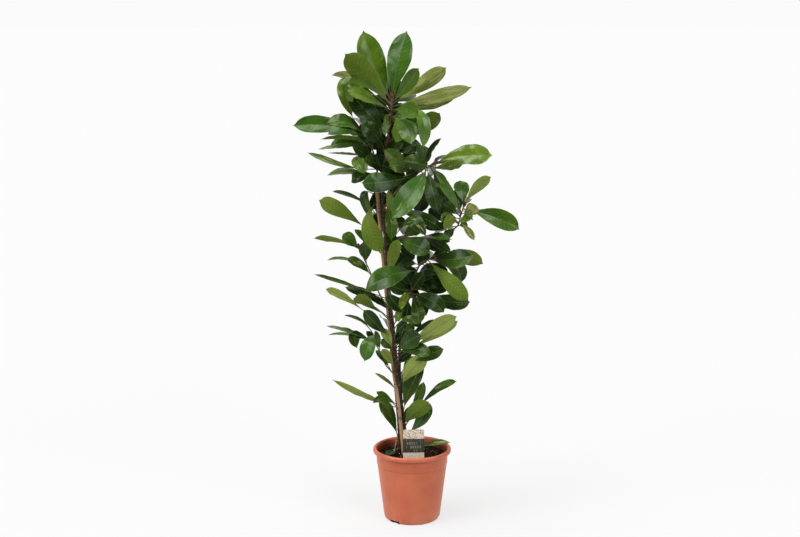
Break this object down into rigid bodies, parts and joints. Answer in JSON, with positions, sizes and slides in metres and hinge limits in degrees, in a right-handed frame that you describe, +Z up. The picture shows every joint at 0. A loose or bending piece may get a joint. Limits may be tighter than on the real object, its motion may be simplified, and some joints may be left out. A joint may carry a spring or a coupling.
{
  "type": "potted plant",
  "caption": "Tall potted fig: woody stems tied up beside a cane carry whorls of leathery leaves, and the roots' soil fills a tapered plastic nursery pot with a rolled rim.",
  "frame": {"origin": "middle of the flat underside of the pot, on the pot's axis", "axes": "+Z up along the pot's axis; -Y is the side that the picture shows, with the label; +X to the right as seen there"},
  "size_m": [0.5808, 0.3504, 1.3064],
  "materials": {
    "pot": "satin",
    "soil": "matte",
    "cane": "satin",
    "stick": "matte",
    "label": "matte",
    "bark": "matte",
    "leaf": "gloss"
  },
  "bodies": {
    "root": {"pot": "pot", "soil": "soil", "bamboo_cane": "cane", "short_stick": "stick", "plant_label": "label", "main_stem": "bark", "second_stem": "bark", "third_stem": "bark", "leaf_crown_01": "leaf", "leaf_crown_02": "leaf", "leaf_crown_03": "leaf", "leaf_crown_04": "leaf", "leaf_crown_05": "leaf", "leaf_crown_06": "leaf", "leaf_crown_09": "leaf", "leaf_crown_16": "leaf", "leaf_crown_18": "leaf", "leaf_crown_19": "leaf", "leaf_crown_22": "leaf", "leaf_upper_left_01": "leaf", "leaf_upper_left_02": "leaf", "leaf_upper_left_04": "leaf", "leaf_upper_left_09": "leaf", "leaf_upper_left_16": "leaf", "leaf_upper_right_01": "leaf", "leaf_upper_right_05": "leaf", "leaf_upper_right_06": "leaf", "leaf_upper_right_09": "leaf", "leaf_upper_right_14": "leaf", "leaf_right_01": "leaf", "leaf_right_03": "leaf", "leaf_right_04": "leaf", "leaf_right_05": "leaf", "leaf_middle_left_02": "leaf", "leaf_middle_left_03": "leaf", "leaf_middle_left_04": "leaf", "leaf_middle_left_07": "leaf", "leaf_middle_left_13": "leaf", "leaf_middle_left_14": "leaf", "leaf_middle_left_17": "leaf", "leaf_middle_right_01": "leaf", "leaf_middle_right_02": "leaf", "leaf_middle_right_07": "leaf", "leaf_middle_right_08": "leaf", "leaf_middle_right_09": "leaf", "leaf_middle_right_11": "leaf", "leaf_middle_right_23": "leaf", "leaf_middle_right_25": "leaf", "leaf_lower_right_01": "leaf", "leaf_lower_right_07": "leaf", "leaf_lower_right_08": "leaf", "leaf_lower_right_11": "leaf", "leaf_lower_right_13": "leaf", "leaf_lower_right_15": "leaf", "leaf_lower_left_01": "leaf", "leaf_lower_left_04": "leaf", "leaf_lower_left_06": "leaf", "leaf_lower_left_07": "leaf", "leaf_lower_left_15": "leaf", "leaf_pot_01": "leaf"}
  },
  "joints": []
}
